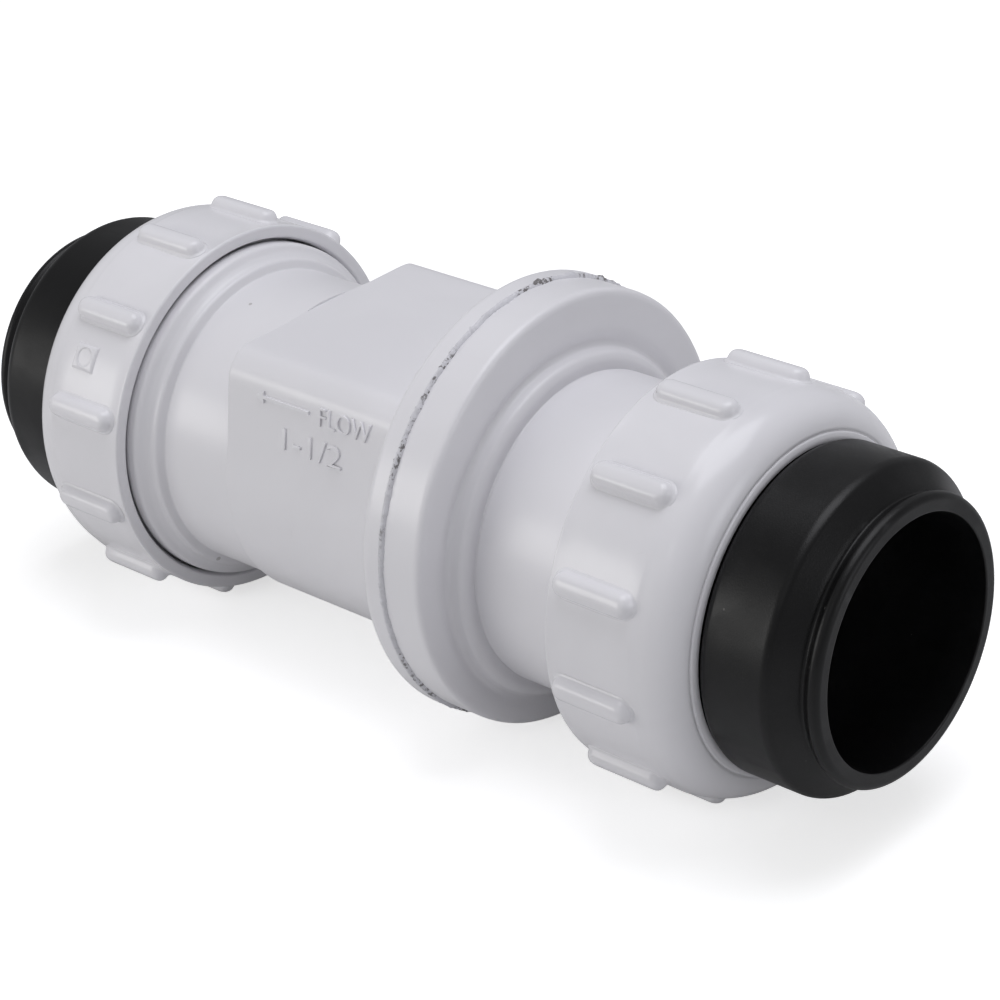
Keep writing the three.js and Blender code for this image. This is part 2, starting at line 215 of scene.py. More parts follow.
# ------------------------------------------------------------------ finishes
def finish_base(name, settings):
    """A material with its shader, and the object coordinates that every pattern reads."""
    material = bpy.data.materials.new(name)
    material.use_nodes = True
    tree = material.node_tree
    shader = tree.nodes["Principled BSDF"]
    for label, value in settings.items():
        shader.inputs[label].default_value = value
    return material, tree, shader, tree.nodes.new("ShaderNodeTexCoord").outputs["Object"]


def apply_effect(tree, group, **values):
    made = tree.nodes.new("ShaderNodeGroup")
    made.node_tree = group
    for label, value in values.items():
        socket = made.inputs[label.replace("_", " ")]
        if isinstance(value, bpy.types.NodeSocket):
            tree.links.new(value, socket)
        else:
            socket.default_value = value
    return made


def blend_colours(tree, share, first, second, mode="MIX"):
    made = node(tree, "ShaderNodeMix", dict(data_type="RGBA", blend_type=mode))
    for socket, value in ((made.inputs[0], share), (made.inputs[6], first), (made.inputs[7], second)):
        if isinstance(value, bpy.types.NodeSocket):
            tree.links.new(value, socket)
        else:
            socket.default_value = value
    return made.outputs[2]


def raise_bumps(tree, shader, height, distance, strength=1.0):
    bump = node(tree, "ShaderNodeBump", Height=height, Distance=distance, Strength=strength)
    tree.links.new(bump.outputs[0], shader.inputs["Normal"])


def moulded_white(name, gloss, speck_share):
    """Injection-moulded white vinyl: cool white, faint flow clouds, small specks, a satin skin and a painted
    highlight on standing edges.
    """
    material, tree, shader, place = finish_base(name, {"IOR": 1.50, "Specular IOR Level": 0.42})
    clouds = node(tree, "ShaderNodeTexNoise", Vector=place, Scale=28.0, Detail=3.0, Roughness=0.55, Distortion=0.8)
    cloudy = band(tree, clouds.outputs[0], 0.35, 0.7)
    tint = blend_colours(tree, cloudy, (0.758, 0.750, 0.776, 1), (0.778, 0.770, 0.796, 1))
    # painted highlight: standing corners and edges are tinted lighter, as if they catch the light
    edges = apply_effect(tree, EDGE_WEAR_AND_HIGHLIGHT, Vector=place, Low=0.56, High=0.70, Breakup=260.0)
    tint = blend_colours(tree, edges.outputs["Mask"], tint, (0.80, 0.80, 0.825, 1))
    marks = apply_effect(tree, MARKS, Vector=place, Smudge_Scale=60.0, Scratch_Scale=150.0, Scratch_Width=0.004)
    faint = math_node(tree, "MULTIPLY", marks.outputs["Scratches"], 0.08)
    tint = blend_colours(tree, faint, tint, (0.42, 0.41, 0.43, 1))
    specks = apply_effect(tree, SPECKS, Vector=place, Scale=150.0, Size=0.085, Share=speck_share)
    burnt = math_node(tree, "MULTIPLY", specks.outputs["Mask"], 0.55)
    tint = blend_colours(tree, burnt, tint, (0.30, 0.28, 0.27, 1))
    tree.links.new(tint, shader.inputs["Base Color"])
    rough = node(tree, "ShaderNodeMapRange", Value=marks.outputs["Smudges"], To_Min=gloss, To_Max=gloss + 0.03)
    tree.links.new(rough.outputs[0], shader.inputs["Roughness"])
    grain = apply_effect(tree, GRAIN, Vector=place, Grain_Scale=2200.0, Grain=0.10, Wave_Scale=85.0, Wave=1.0)
    raise_bumps(tree, shader, grain.outputs["Height"], 0.00012, 0.5)
    return material


def seam_weld():
    """The squeezed-out line between the two halves: white, with burnt and dirty spots along it."""
    material, tree, shader, place = finish_base("seam_weld", {"Roughness": 0.5, "IOR": 1.5})
    spots = node(tree, "ShaderNodeTexNoise", Vector=place, Scale=900.0, Detail=3.0, Roughness=0.7)
    where = node(tree, "ShaderNodeTexNoise", Vector=place, Scale=110.0, Detail=2.0)
    dirty = math_node(tree, "MULTIPLY", band(tree, spots.outputs[0], 0.50, 0.60),
                      band(tree, where.outputs[0], 0.44, 0.56))
    tint = blend_colours(tree, math_node(tree, "MULTIPLY", dirty, 0.85), (0.66, 0.655, 0.69, 1),
                         (0.10, 0.09, 0.085, 1))
    tree.links.new(tint, shader.inputs["Base Color"])
    tree.links.new(math_node(tree, "ADD", math_node(tree, "MULTIPLY", dirty, 0.3), 0.42), shader.inputs["Roughness"])
    grain = apply_effect(tree, GRAIN, Vector=place, Grain_Scale=1600.0, Grain=1.0, Wave_Scale=300.0, Wave=1.0)
    raise_bumps(tree, shader, grain.outputs["Height"], 0.0002, 0.8)
    return material


def moulded_rubber(name, gloss):
    """Moulded black rubber: a dull skin with a soft sheen, pale bloom on the edges and fine dust."""
    material, tree, shader, place = finish_base(name, {"IOR": 1.5, "Specular IOR Level": 0.27})
    bloom = node(tree, "ShaderNodeTexNoise", Vector=place, Scale=38.0, Detail=5.0, Roughness=0.65)
    tint = blend_colours(tree, band(tree, bloom.outputs[0], 0.4, 0.72), (0.0036, 0.0036, 0.0038, 1),
                         (0.0075, 0.0075, 0.0080, 1))
    edges = apply_effect(tree, EDGE_WEAR_AND_HIGHLIGHT, Vector=place, Low=0.52, High=0.66, Breakup=220.0)
    worn = math_node(tree, "MULTIPLY", edges.outputs["Mask"], 0.6)
    tint = blend_colours(tree, worn, tint, (0.030, 0.030, 0.032, 1))
    dust = apply_effect(tree, SPECKS, Vector=place, Scale=420.0, Size=0.10, Share=0.05)
    dusty = math_node(tree, "MULTIPLY", dust.outputs["Mask"], 0.35)
    tint = blend_colours(tree, dusty, tint, (0.16, 0.155, 0.15, 1))
    tree.links.new(tint, shader.inputs["Base Color"])
    marks = apply_effect(tree, MARKS, Vector=place, Smudge_Scale=70.0, Scratch_Scale=230.0, Scratch_Width=0.006)
    rough = node(tree, "ShaderNodeMapRange", Value=marks.outputs["Smudges"], To_Min=gloss, To_Max=gloss + 0.10)
    rough = math_node(tree, "ADD", rough.outputs[0], math_node(tree, "MULTIPLY", marks.outputs["Scratches"], 0.12))
    tree.links.new(rough, shader.inputs["Roughness"])
    grain = apply_effect(tree, GRAIN, Vector=place, Grain_Scale=3000.0, Grain=0.55, Wave_Scale=120.0, Wave=0.8)
    raise_bumps(tree, shader, grain.outputs["Height"], 0.00010, 0.5)
    return material


def drawn_steel():
    """Stainless steel with fine lines from cutting and a little haze."""
    material, tree, shader, place = finish_base("drawn_steel", {"Metallic": 1.0})
    along = node(tree, "ShaderNodeMapping", Vector=place, Scale=(1.0, 0.06, 1.0))
    lines = node(tree, "ShaderNodeTexNoise", Vector=along.outputs[0], Scale=2600.0, Detail=4.0)
    haze = node(tree, "ShaderNodeTexNoise", Vector=place, Scale=180.0, Detail=3.0)
    tint = blend_colours(tree, band(tree, haze.outputs[0], 0.35, 0.7), (0.56, 0.565, 0.58, 1),
                         (0.66, 0.665, 0.675, 1))
    tree.links.new(tint, shader.inputs["Base Color"])
    rough = node(tree, "ShaderNodeMapRange", Value=lines.outputs[0], From_Min=0.3, From_Max=0.7,
                 To_Min=0.29, To_Max=0.40)
    tree.links.new(rough.outputs[0], shader.inputs["Roughness"])
    raise_bumps(tree, shader, lines.outputs[0], 0.00003, 0.6)
    return material


def waxy_acetal():
    """Off-white slip ring: waxy, with turning lines around the pipe axis."""
    material, tree, shader, place = finish_base("waxy_acetal", {"IOR": 1.48})
    wave = node(tree, "ShaderNodeTexWave", dict(wave_type="RINGS", rings_direction="X"), Vector=place, Scale=900.0,
                Distortion=1.5, Detail=2.0)
    clouds = node(tree, "ShaderNodeTexNoise", Vector=place, Scale=90.0, Detail=3.0)
    tint = blend_colours(tree, clouds.outputs[0], (0.70, 0.685, 0.62, 1), (0.78, 0.77, 0.71, 1))
    tree.links.new(tint, shader.inputs["Base Color"])
    rough = node(tree, "ShaderNodeMapRange", Value=wave.outputs[1], To_Min=0.34, To_Max=0.48)
    tree.links.new(rough.outputs[0], shader.inputs["Roughness"])
    raise_bumps(tree, shader, wave.outputs[1], 0.00002, 0.5)
    return material


# ------------------------------------------------------------------ shapes
def soften(corners, steps=5):
    """Rounds a closed outline. Each corner is (x, r, setback), and x and r may differ at each turn angle."""
    turns = max(np.size(v) for c in corners for v in c[:2])
    points = np.stack([np.stack([np.broadcast_to(v, turns) for v in corner[:2]], -1) for corner in corners], 1)
    setback = np.array([c[2] for c in corners])[None, :, None]
    before, after = np.roll(points, 1, 1) - points, np.roll(points, -1, 1) - points
    reach_b = np.linalg.norm(before, axis=-1, keepdims=True) + 1e-9
    reach_a = np.linalg.norm(after, axis=-1, keepdims=True) + 1e-9
    back = np.minimum(setback, 0.42 * np.minimum(reach_b, reach_a))
    start, end = points + before / reach_b * back, points + after / reach_a * back
    hold = 0.16 * back
    rows = [start + before / reach_b * hold]
    for t in np.linspace(0, 1, steps):
        rows.append((1 - t) ** 2 * start + 2 * t * (1 - t) * points + t ** 2 * end)
    rows.append(end + after / reach_a * hold)
    return np.stack(rows, 2).reshape(turns, -1, 2)


def fill_spans(outline, gap=3.5):
    """Adds points along the long straight stretches of a closed outline, the same number at each turn angle."""
    after = np.roll(outline, -1, 1)
    length = np.linalg.norm(after - outline, axis=-1).max(0)
    rows = []
    for k, span in enumerate(length):
        parts = max(1, math.ceil(span / gap))
        for share in np.arange(parts) / parts:
            rows.append(outline[:, k] * (1 - share) + after[:, k] * share)
    return np.stack(rows, 1)


def insert_run(outline, corner, xs, radii, steps=5):
    """Puts a run of closely spaced points after the given corner of a softened outline."""
    at = (corner + 1) * (steps + 2)
    run = np.stack([np.broadcast_to(xs, radii.shape), radii], -1)
    return np.concatenate([outline[:, :at], run, outline[:, at:]], 1)


def closed_mesh(name, points, faces, finish):
    """A smooth piece from millimetre points: doubles merged, faces outwards, at the origin."""
    mesh = bpy.data.meshes.new(name)
    mesh.from_pydata((np.asarray(points, float) * MM).tolist(), [], faces)
    work = bmesh.new()
    work.from_mesh(mesh)
    bmesh.ops.remove_doubles(work, verts=work.verts, dist=2e-6)
    bmesh.ops.dissolve_degenerate(work, edges=work.edges, dist=1e-6)
    bmesh.ops.recalc_face_normals(work, faces=work.faces)
    if work.calc_volume(signed=True) < 0:
        bmesh.ops.reverse_faces(work, faces=work.faces)
    for face in work.faces:
        face.smooth = True
    work.to_mesh(mesh)
    work.free()
    mesh.materials.append(finish)
    made = bpy.data.objects.new(name, mesh)
    bpy.context.scene.collection.objects.link(made)
    return made


def turned_piece(name, outline, turn, finish, side=1):
    """A closed outline (turn, point, [x, r]) turned about the pipe axis."""
    outline = fill_spans(outline)
    count, around = outline.shape[1], outline.shape[0]
    x, r = side * outline[..., 0], outline[..., 1]
    points = np.stack([x, r * np.cos(turn)[:, None], r * np.sin(turn)[:, None]], -1).reshape(-1, 3)
    i, j = np.meshgrid(np.arange(around), np.arange(count), indexing="ij")
    i2, j2 = (i + 1) % around, (j + 1) % count
    faces = np.stack([i * count + j, i2 * count + j, i2 * count + j2, i * count + j2], -1).reshape(-1, 4)
    return closed_mesh(name, points, faces.tolist(), finish)


def even_turn(count):
    return np.arange(count) * TURN / count


def crisp_turn(centres, spread, fine, coarse):
    """Turn angles in radians, closer together near the given centres, in degrees."""
    angles, at = [], 0.0
    while at < 360 - 1e-6:
        angles.append(at)
        near = min(abs((at - c + 180) % 360 - 180) for c in centres)
        at += fine if near < spread else coarse
    return np.radians(angles)


def off_centre(radius, turn, lift=FLANGE_LIFT):
    """Distance from the pipe axis to a circle whose centre stands lift above it."""
    return lift * np.sin(turn) + np.sqrt(radius ** 2 - (lift * np.cos(turn)) ** 2)


def chamber_section(turn, round_r, top, half_top, half_side, side_z, crisp=70.0):
    """Distance from the pipe axis to a section with a flat top, chamfers, drafted sides and a round bottom."""
    lean = math.atan2(side_z, half_side) - math.acos(round_r / math.hypot(half_side, side_z))
    fold = np.arcsin(np.clip(np.sin(turn), -1, 1))
    normal = np.array([top - side_z, half_side - half_top]) / math.hypot(top - side_z, half_side - half_top)
    side = round_r / np.cos(np.clip(fold - lean, 0, 1.35))
    facing = np.maximum(normal[0] * np.cos(fold) + normal[1] * np.sin(fold), 0.3)
    shoulder = (normal[0] * half_top + normal[1] * top) / facing
    roof = top / np.maximum(np.sin(fold), 0.3)
    return (side ** -crisp + shoulder ** -crisp + roof ** -crisp) ** (-1 / crisp)


def thread_form(x, turn, start, turns, phase=0.0):
    """Share of full height, from 0 to 1, of a right-handed thread about the pipe axis."""
    travel = (x - start) / THREAD_PITCH - (turn - phase) / TURN
    off = np.abs(travel - np.round(travel)) * THREAD_PITCH
    form = np.clip((1.4 - off) / 0.8, 0, 1)
    whole = (x - start) / THREAD_PITCH
    ends = np.clip((whole + 0.15) / 0.3, 0, 1) * np.clip((turns + 0.15 - whole) / 0.3, 0, 1)
    form = form * ends
    return form * form * (3 - 2 * form)


COLLARS = [(59.2, 36.0, 0.7), (56.1, 36.0, 0.8), (55.2, 34.5, 0.45), (54.1, 33.5, 0.5), (52.95, 33.3, 0.7),
           (52.2, NECK_R, 0.3)]


def end_corners(side, turn):
    """From the pipe stop out to the mouth and back in over the thread's root, seen as positive x."""
    stop, shoulder = SOCKET_X
    inside = [(stop, PORT_R, 0.5), (stop, SOCKET_R, 0.3), (shoulder, SOCKET_R, 0.4), (shoulder, 28.4, 0.3),
              (76.2, 28.4, 0.4), (77.4, 29.6, 0.25), (77.4, 33.2, 0.3), (76.6, THREAD_ROOT_R, 0.25)]
    outside = [(59.7, THREAD_ROOT_R, 0.2)] + COLLARS
    xs = np.arange(76.2, 60.1, -0.3)
    form = thread_form(side * xs[None, :], turn[:, None], THREAD_START[side], 2.6)
    radii = THREAD_ROOT_R + THREAD_HEIGHT * form
    return inside, outside, xs, radii


def downstream_half(finish):
    """Flat-topped chamber, cone up to the rim, neck and threaded end, hollow inside."""
    turn = crisp_turn((48, 132), 8, 0.5, 1.5)
    outer = chamber_section(turn, **CHAMBER)
    inner = chamber_section(turn, **CAVITY)
    sine = np.sin(turn)
    cone_foot = -(8.7 + 8.5 * (outer - CHAMBER["round_r"]) / (RIM_R - CHAMBER["round_r"] + FLANGE_LIFT * sine))
    mouth_foot = -(8.2 + 9.3 * (inner - CAVITY["round_r"]) / (RIM_BORE_R - CAVITY["round_r"] + FLANGE_LIFT * sine))
    rim, bore = off_centre(RIM_R, turn), off_centre(RIM_BORE_R, turn)
    inside, outside, xs, radii = end_corners(-1, turn)
    rim_end = SEAM_GAP - SEAM_X
    corners = [(CHAMBER_X, outer, 0.7), (cone_foot, outer, 1.4), (-17.3, rim, 1.1), (rim_end, rim, 0.25),
               (rim_end, bore, 0.3), (-17.5, bore, 0.5), (mouth_foot, inner, 0.8), (29.8, inner, 1.2),
               (29.8, 26.0, 0.4), (40.5, 26.0, 0.9), (40.5, PORT_R, 0.4)] + inside
    last = len(corners) - 1
    corners += outside + [(CHAMBER_X, NECK_R, 0.5)]
    outline = insert_run(soften(corners), last, xs, radii)
    return turned_piece("downstream_half", outline, turn, finish, side=-1)


def upstream_half(finish):
    """Off-centre flange disc, neck, threaded end, spigot and the raised seat."""
    turn = even_turn(256)
    disc, spigot = off_centre(DISC_R, turn), off_centre(SPIGOT_R, turn)
    spigot_tip, hollow = off_centre(SPIGOT_R - 0.5, turn), off_centre(SPIGOT_R - 2.5, turn)
    inside, outside, xs, radii = end_corners(1, turn)
    lead = [(SEAM_X + SEAM_GAP, spigot, 0.2), (18.2, spigot, 0.4), (17.7, spigot_tip, 0.2), (17.7, hollow, 0.2),
            (23.5, hollow, 0.5), (23.5, 22.9, 0.5), (14.2, 22.9, 0.3), (13.6, 22.3, 0.2), (13.6, 20.8, 0.2),
            (14.4, 19.0, 0.4), (24.0, 19.0, 0.8), (28.0, PORT_R, 0.8)]
    corners = lead + inside
    last = len(corners) - 1
    groove = [(33.9, NECK_R, 0.12), (33.55, NECK_R - 0.45, 0.12), (33.1, NECK_R - 0.3, 0.1)]
    foot_ring = [(33.1, 33.3, 0.7), (32.5, 34.6, 0.8), (30.5, 35.2, 0.5), (29.9, 36.1, 0.6)]
    face = [(DISC_FACE_X - 0.1, 38.2, 1.4), (DISC_FACE_X, disc, 1.5), (SEAM_X + SEAM_GAP, disc, 0.25)]
    corners += outside + groove + foot_ring + face
    outline = insert_run(soften(corners), last, xs, radii)
    return turned_piece("upstream_half", outline, turn, finish)


def weld_line(finish):
    """The thin, uneven line of melt around the rim, with a few burrs near the top."""
    rng = np.random.default_rng(7)
    count = 900
    turn = even_turn(count)
    uneven = np.zeros(count)
    for waves, size in ((9, 0.05), (23, 0.05), (61, 0.05), (140, 0.05), (260, 0.035)):
        uneven += size * np.sin(waves * turn + rng.uniform(0, TURN))
    uneven += 0.04 * rng.standard_normal(count)
    for centre, width, size in ((84, 2.4, 0.55), (73, 2.2, 0.45), (62, 1.6, 0.35), (103, 1.1, 0.3), (152, 0.8, 0.25)):
        apart = np.degrees(np.abs((turn - math.radians(centre) + math.pi) % TURN - math.pi))
        uneven += size * np.exp(-(apart / width) ** 2) * (0.6 + 0.4 * np.sin(90 * turn))
    crest = np.clip(RIM_R - 0.04 + uneven, RIM_R - 0.2, RIM_R + 0.5)
    drift = 0.05 * np.sin(7 * turn + 1.3) + 0.05 * rng.standard_normal(count)
    half = 0.24 + 0.05 * np.sin(31 * turn)
    shape = [(-2.2, 43.0), (-2.2, 44.46), (-0.6, None), (0.5, None), (2.2, 43.78), (2.2, 43.0)]
    rows = []
    for share, radius in shape:
        r = off_centre(crest if radius is None else np.full(count, radius), turn)
        rows.append(np.stack([SEAM_X + drift + share * half, r], -1))
    return turned_piece("weld_line", np.stack(rows, 1), turn, finish)


def compression_nut(name, side, finish):
    """Nut shell: flat face, ribbed band, glossy shoulder and a female thread inside."""
    turn = even_turn(240)
    sweep = np.linspace(0.0, 1.36, 22)
    dome_x = 77.2 + 8.9 * np.sin(sweep) ** 0.94
    dome_r = 31.6 + (NUT_R - 31.6) * np.cos(sweep) - 0.22 * np.clip(sweep / 0.12, 0, 1) * np.cos(sweep)
    face, mouth = NUT_X
    corners = [(59.0, 36.4, 0.4), (face, 37.1, 0.35), (face, NUT_R, 0.75)]
    after_face = len(corners) - 1
    corners += [(mouth - 0.25, 32.9, 0.3), (mouth, 32.0, 0.35), (mouth, 31.0, 0.3), (83.4, 31.0, 0.2),
                (83.4, 34.0, 0.2), (77.4, 34.0, 0.3), (76.4, 36.4, 0.3)]
    outline = soften(corners)
    xs = np.arange(76.0, 59.7, -0.3)
    radii = 36.4 - 1.9 * thread_form(side * xs[None, :], turn[:, None], THREAD_START[side], 2.4, math.pi)
    outline = np.repeat(outline, len(turn), 0)
    outline = insert_run(outline, len(corners) - 1, xs, radii)
    outline = insert_run(outline, after_face, dome_x, np.repeat(dome_r[None, :], len(turn), 0))
    return turned_piece(name, outline, turn, finish, side)


def rib_blank(side, finish):
    """One grip rib on the +Y side: rounded bar with full ends, growing out of the band."""
    ends = (RIB_SPAN[0] + 2.5, RIB_SPAN[1] - 2.3)
    sections = [(0.0, 2.3), (0.6, 2.28), (1.15, 2.16), (1.6, 1.92), (1.98, 1.52), (2.25, 1.0), (2.4, 0.5),
                (2.52, 0.2), (2.75, 0.04), (3.0, -0.06), (3.1, -0.7)]
    corner = np.linspace(-90, 90, 13)
    rows = []
    for reach, height in sections:
        ring = [(ends[1] + reach * math.cos(math.radians(a)), reach * math.sin(math.radians(a))) for a in corner]
        ring += [(x, reach) for x in np.linspace(ends[1], ends[0], 5)[1:-1]]
        ring += [(ends[0] - reach * math.cos(math.radians(a)), -reach * math.sin(math.radians(a))) for a in corner]
        ring += [(x, -reach) for x in np.linspace(ends[0], ends[1], 5)[1:-1]]
        for x, across in ring:
            angle, r = across / NUT_R, NUT_R + height
            rows.append((side * x, r * math.cos(angle), r * math.sin(angle)))
    count = len(rows) // len(sections)
    faces = []
    for i in range(len(sections) - 1):
        for j in range(count):
            k = (j + 1) % count
            faces.append([i * count + j, i * count + k, (i + 1) * count + k, (i + 1) * count + j])
    faces.append([(len(sections) - 1) * count + j for j in range(count)])
    return closed_mesh("rib_blank", rows, faces, finish)


def ring_of_copies():
    """Geometry nodes: copies of a piece around the pipe axis, made real and given their finish."""
    tree = bpy.data.node_groups.new("ring_of_copies", "GeometryNodeTree")
    for label, kind in (("Geometry", "Geometry"), ("Count", "Int"), ("First Angle", "Float"), ("Finish", "Material")):
        tree.interface.new_socket(label, in_out="INPUT", socket_type="NodeSocket" + kind)
    tree.interface.new_socket("Geometry", in_out="OUTPUT", socket_type="NodeSocketGeometry")
    given, out = tree.nodes.new("NodeGroupInput"), tree.nodes.new("NodeGroupOutput")
    points = node(tree, "GeometryNodePoints", Count=given.outputs["Count"])
    number = tree.nodes.new("GeometryNodeInputIndex")
    step = math_node(tree, "DIVIDE", TURN, given.outputs["Count"])
    angle = math_node(tree, "ADD", math_node(tree, "MULTIPLY", number.outputs[0], step), given.outputs["First Angle"])
    spin = node(tree, "ShaderNodeCombineXYZ", X=angle)
    rotation = node(tree, "FunctionNodeEulerToRotation", Euler=spin.outputs[0])
    copies = node(tree, "GeometryNodeInstanceOnPoints", Points=points.outputs[0], Instance=given.outputs["Geometry"],
                  Rotation=rotation.outputs[0])
    real = node(tree, "GeometryNodeRealizeInstances", Geometry=copies.outputs[0])
    coated = node(tree, "GeometryNodeSetMaterial", Geometry=real.outputs[0], Material=given.outputs["Finish"])
    tree.links.new(coated.outputs[0], out.inputs[0])
    return tree


def grip_ribs(name, side, first_angle, tree, finish):
    """The twelve ribs of one nut, as one plain mesh."""
    blank = rib_blank(side, finish)
    modifier = blank.modifiers.new("ribs", "NODES")
    modifier.node_group = tree
    identifiers = {s.name: s.identifier for s in tree.interface.items_tree if s.in_out == "INPUT"}
    for label, value in (("Count", RIB_COUNT), ("First Angle", math.radians(first_angle)), ("Finish", finish)):
        modifier[identifiers[label]] = value
    bpy.context.view_layer.update()
    mesh = bpy.data.meshes.new_from_object(blank.evaluated_get(bpy.context.evaluated_depsgraph_get()))
    mesh.name = name
    bpy.data.objects.remove(blank)
    made = bpy.data.objects.new(name, mesh)
    bpy.context.scene.collection.objects.link(made)
    return made


def pipe_sleeve(name, side, finish):
    """Rubber sleeve with its collar inside the nut, the wide band, the waist and the lip."""
    corners = [(66.2, 24.4, 0.4), (66.2, 27.0, 0.4), (67.2, 28.0, 0.4), (77.7, 28.0, 0.3), (77.7, 33.2, 0.4),
               (82.0, 33.2, 0.4), (82.0, 30.5, 0.4), (86.7, 30.5, 0.2), (87.0, 31.6, 0.3), (88.0, 32.1, 0.5),
               (100.6, 32.1, 0.8), (101.7, 31.7, 0.8), (105.2, 27.9, 0.9), (105.8, 27.0, 0.4), (106.6, 27.2, 0.4),
               (107.6, 28.0, 0.6), (108.8, 27.7, 0.6), (109.4, 26.9, 0.4), (109.4, 24.4, 0.35)]
    turn = even_turn(192)
    return turned_piece(name, np.repeat(soften(corners), len(turn), 0), turn, finish, side)


def gate_pad(finish):
    """Small square pad on the outlet nut where the mould was filled, with a round trimmed gate."""
    centre_x, centre_angle, half_x, half_s = -70.7, math.radians(146.7), 2.8, 2.45
    n = 40
    u = np.linspace(-1, 1, n)
    gx, gs = np.meshgrid(u * (half_x + 0.5), u * (half_s + 0.5), indexing="ij")
    square = np.maximum(np.abs(gx) - half_x, np.abs(gs) - half_s)
    height = 0.42 * np.clip(0.5 - square / 0.5, 0, 1) ** 0.7 - 0.12 * (square > 0.2)
    away = np.hypot(gx - 0.1, gs)
    height = np.where(away < 2.0, height - 0.20, height) + 0.10 * np.exp(-((away - 2.05) / 0.16) ** 2)
    height[0, :] = height[-1, :] = height[:, 0] = height[:, -1] = -0.4
    angle, r = centre_angle + gs / NUT_R, NUT_R + height
    top = np.stack([centre_x + gx, r * np.cos(angle), r * np.sin(angle)], -1).reshape(-1, 3)
    low = NUT_R - 0.6
    under = np.stack([centre_x + gx, low * np.cos(angle), low * np.sin(angle)], -1).reshape(-1, 3)
    faces, m = [], n * n
    for i in range(n - 1):
        for j in range(n - 1):
            a, b, c, d = i * n + j, (i + 1) * n + j, (i + 1) * n + j + 1, i * n + j + 1
            faces += [[a, b, c, d], [m + a, m + d, m + c, m + b]]
    edge = [i * n for i in range(n)] + [(n - 1) * n + j for j in range(1, n)]
    edge += [i * n + n - 1 for i in range(n - 2, -1, -1)] + list(range(n - 2, 0, -1))
    for a, b in zip(edge, edge[1:] + edge[:1]):
        faces.append([a, m + a, m + b, b])
    return closed_mesh("gate_pad", np.concatenate([top, under]), faces, finish)


def panel_frame():
    """Axes and origin of the drafted side panel on the -Y side, in millimetres."""
    side, up_to = CHAMBER["half_side"], CHAMBER["side_z"]
    lean = math.atan2(up_to, side) - math.acos(PANEL_DISTANCE / math.hypot(side, up_to))
    normal = Vector((0, -math.cos(lean), math.sin(lean)))
    up = Vector((0, math.sin(lean), math.cos(lean)))
    axes = Matrix((Vector((1, 0, 0)), up, normal)).transposed().to_4x4()
    return Matrix.Translation(normal * PANEL_DISTANCE) @ axes


def raised_text(name, words, x, up, height, width, finish):
    """Raised lettering on the side panel, rounded at its edges; (x, up) is its lower left corner."""
    curve = bpy.data.curves.new(name, "FONT")
    curve.body = words
    curve.extrude, curve.bevel_depth, curve.bevel_resolution, curve.resolution_u = 0.06, 0.016, 2, 6
    curve.offset = -0.016
    flat = bpy.data.objects.new(name + "_flat", curve)
    bpy.context.scene.collection.objects.link(flat)
    bpy.context.view_layer.update()
    mesh = bpy.data.meshes.new_from_object(flat.evaluated_get(bpy.context.evaluated_depsgraph_get()))
    bpy.data.objects.remove(flat)
    co = np.array([v.co for v in mesh.vertices])
    low, high = co.min(0), co.max(0)
    stretch_y = height / (high[1] - low[1])
    stretch_x = width / (high[0] - low[0])
    place = np.stack([x + (co[:, 0] - low[0]) * stretch_x, up + (co[:, 1] - low[1]) * stretch_y,
                      LETTER_PROUD - (high[2] - co[:, 2]) * 5.0], -1)
    frame_matrix = panel_frame()
    points = [list(frame_matrix @ Vector(p)) for p in place]
    return closed_mesh(name, points, [list(face.vertices) for face in mesh.polygons], finish)


def flow_arrow(finish):
    """Raised arrow on the side panel, pointing downstream."""
    tip, head, tail = -24.6, -22.4, -9.9
    outline = [(tip, 0), (head, 1.25), (head, 0.36), (tail, 0.36), (tail, -0.36), (head, -0.36), (head, -1.25)]
    frame_matrix = panel_frame()
    levels = ((-0.3, 0.0), (0.30, 0.0), (LETTER_PROUD, 0.08))
    points, faces, n = [], [], len(outline)
    middle = np.mean(outline, 0)[0]
    for proud, inset in levels:
        for x, across in outline:
            corner = (x + inset * np.sign(middle - x), ARROW_UP + across - inset * np.sign(across), proud)
            points.append(list(frame_matrix @ Vector(corner)))
    for i in range(len(levels) - 1):
        for j in range(n):
            k = (j + 1) % n
            faces.append([i * n + j, i * n + k, (i + 1) * n + k, (i + 1) * n + j])
    for base in (0, 2 * n):
        for run in ((0, 1, 6), (1, 2, 5, 6), (2, 3, 4, 5)):
            faces.append([base + k for k in run])
    made = closed_mesh("flow_arrow", points, faces, finish)
    for face in made.data.polygons:
        face.use_smooth = False
    return made


def bracket_seat(finish):
    """The block inside the upstream half that the hinge bracket is screwed to."""
    corners = [(x, y, z) for x in (18.25, 23.9) for y in (-12, 12) for z in (23.0, 36.4)]
    sides = [[0, 1, 3, 2], [4, 6, 7, 5], [0, 4, 5, 1], [2, 3, 7, 6], [0, 2, 6, 4], [1, 5, 7, 3]]
    made = closed_mesh("bracket_seat", corners, sides, finish)
    bevel = made.modifiers.new("edges", "BEVEL")
    bevel.width, bevel.segments = 0.0006, 3
    mesh = bpy.data.meshes.new_from_object(made.evaluated_get(bpy.context.evaluated_depsgraph_get()))
    made.modifiers.clear()
    made.data = mesh
    return made


# ------------------------------------------------------------------ studio
def area_light(name, place, aim, size, power, colour=(1, 1, 1)):
    data = bpy.data.lights.new(name, "AREA")
    data.shape, data.size, data.size_y, data.energy, data.color = "RECTANGLE", size[0], size[1], power, colour
    light = bpy.data.objects.new(name, data)
    bpy.context.scene.collection.objects.link(light)
    light.location = place
    light.rotation_euler = (Vector(aim) - Vector(place)).to_track_quat("-Z", "Y").to_euler()


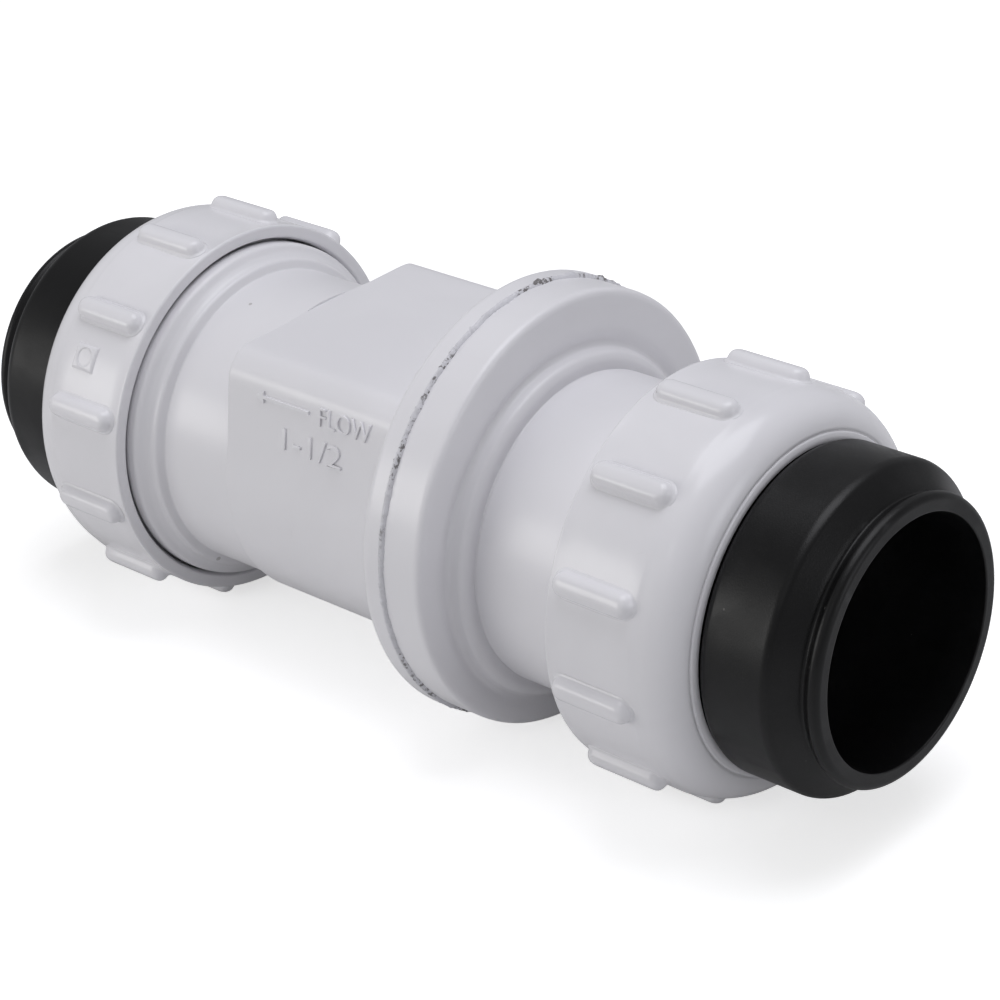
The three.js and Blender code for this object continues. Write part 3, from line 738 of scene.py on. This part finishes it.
def studio(lowest):
    """Pale floor and soft light from above and from the left."""
    bpy.context.scene.view_settings.view_transform = "Standard"
    bpy.context.scene.view_settings.look = "None"
    world = bpy.data.worlds.new("studio_world")
    world.use_nodes = True
    world.node_tree.nodes["Background"].inputs[0].default_value = (0.965, 0.97, 1.0, 1)
    world.node_tree.nodes["Background"].inputs[1].default_value = 0.32
    bpy.context.scene.world = world
    mesh = bpy.data.meshes.new("studio_floor")
    reach = 3
    mesh.from_pydata([(x * reach, y * reach, lowest) for x, y in ((-1, -1), (1, -1), (1, 1), (-1, 1))], [],
                     [[0, 1, 2, 3]])
    floor = bpy.data.objects.new("studio_floor", mesh)
    bpy.context.scene.collection.objects.link(floor)
    material, tree, shader, place = finish_base("pale_floor", {"Roughness": 0.9, "Specular IOR Level": 0.1})
    soft = node(tree, "ShaderNodeTexNoise", Vector=place, Scale=6.0, Detail=2.0)
    tint = blend_colours(tree, soft.outputs[0], (0.73, 0.73, 0.73, 1), (0.77, 0.77, 0.77, 1))
    tree.links.new(tint, shader.inputs["Base Color"])
    shader.inputs["Emission Color"].default_value = (1, 1, 1, 1)
    seen = tree.nodes.new("ShaderNodeLightPath").outputs["Is Camera Ray"]
    tree.links.new(math_node(tree, "MULTIPLY", seen, 0.62), shader.inputs["Emission Strength"])
    mesh.materials.append(material)
    area_light("top_softbox", (0.08, 0.10, 0.85), (0, 0, 0), (0.6, 0.7), 4.2, (0.95, 0.955, 1.0))
    area_light("far_softbox", (0.92, 0.12, 0.24), (0.03, 0, 0), (0.4, 0.3), 0.9, (0.96, 0.965, 1.0))
    area_light("left_softbox", (-0.56, -0.82, 0.22), (0, 0, 0), (0.6, 0.36), 2.7, (1.0, 0.99, 0.97))
    area_light("glint", (0.25, -0.9, 0.75), (0.08, 0, 0), (0.05, 0.12), 0.2)


# ------------------------------------------------------------------ assembly
def settle(piece, body, slot_name, *nodes):
    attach(piece, body)
    if nodes:
        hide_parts(*nodes)
    return piece


def repaint(finish, *names):
    for name in names:
        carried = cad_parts[name]
        carried.data.materials.clear()
        carried.data.materials.append(finish)


product_camera()
body_white = moulded_white("body_white", 0.285, 0.10)
nut_white = moulded_white("nut_white", 0.22, 0.05)
flap_white = moulded_white("flap_white", 0.38, 0.06)
rubber, seal_rubber = moulded_rubber("sleeve_rubber", 0.34), moulded_rubber("seal_rubber", 0.55)

settle(downstream_half(body_white), "valve_shell", "white_plastic", "outlet_body")
settle(upstream_half(body_white), "valve_shell", "white_plastic", "inlet_body")
settle(weld_line(seam_weld()), "valve_shell", "white_plastic", "seam_bead")
settle(bracket_seat(body_white), "valve_shell", "white_plastic")
settle(flow_arrow(body_white), "valve_shell", "white_plastic")
settle(raised_text("flow_word", "FLOW", -7.2, 17.1, 3.9, 13.8, body_white), "valve_shell", "white_plastic")
settle(raised_text("size_mark", "1-1/2", -17.0, 9.7, 4.5, 16.0, body_white), "valve_shell", "white_plastic")

copies = ring_of_copies()
for end, side, first in (("inlet", 1, 99.2), ("outlet", -1, 102.5)):
    settle(compression_nut(end + "_nut_shell", side, nut_white), end + "_grip", "white_plastic", end + "_nut")
    settle(grip_ribs(end + "_nut_ribs", side, first, copies, nut_white), end + "_grip", "white_plastic")
    settle(pipe_sleeve(end + "_pipe_sleeve", side, rubber), end + "_gasket", "black_rubber", end + "_sleeve")
settle(gate_pad(nut_white), "outlet_grip", "white_plastic")

repaint(drawn_steel(), "hinge_bracket", "bracket_screw_a", "bracket_screw_b", "hinge_pin", "pin_clip", "flap_washer",
        "flap_screw", "flap_locknut")
repaint(waxy_acetal(), "inlet_slip_ring", "outlet_slip_ring")
repaint(flap_white, "flap_plate")
repaint(seal_rubber, "flap_seal")

studio(cad_box[0][2])
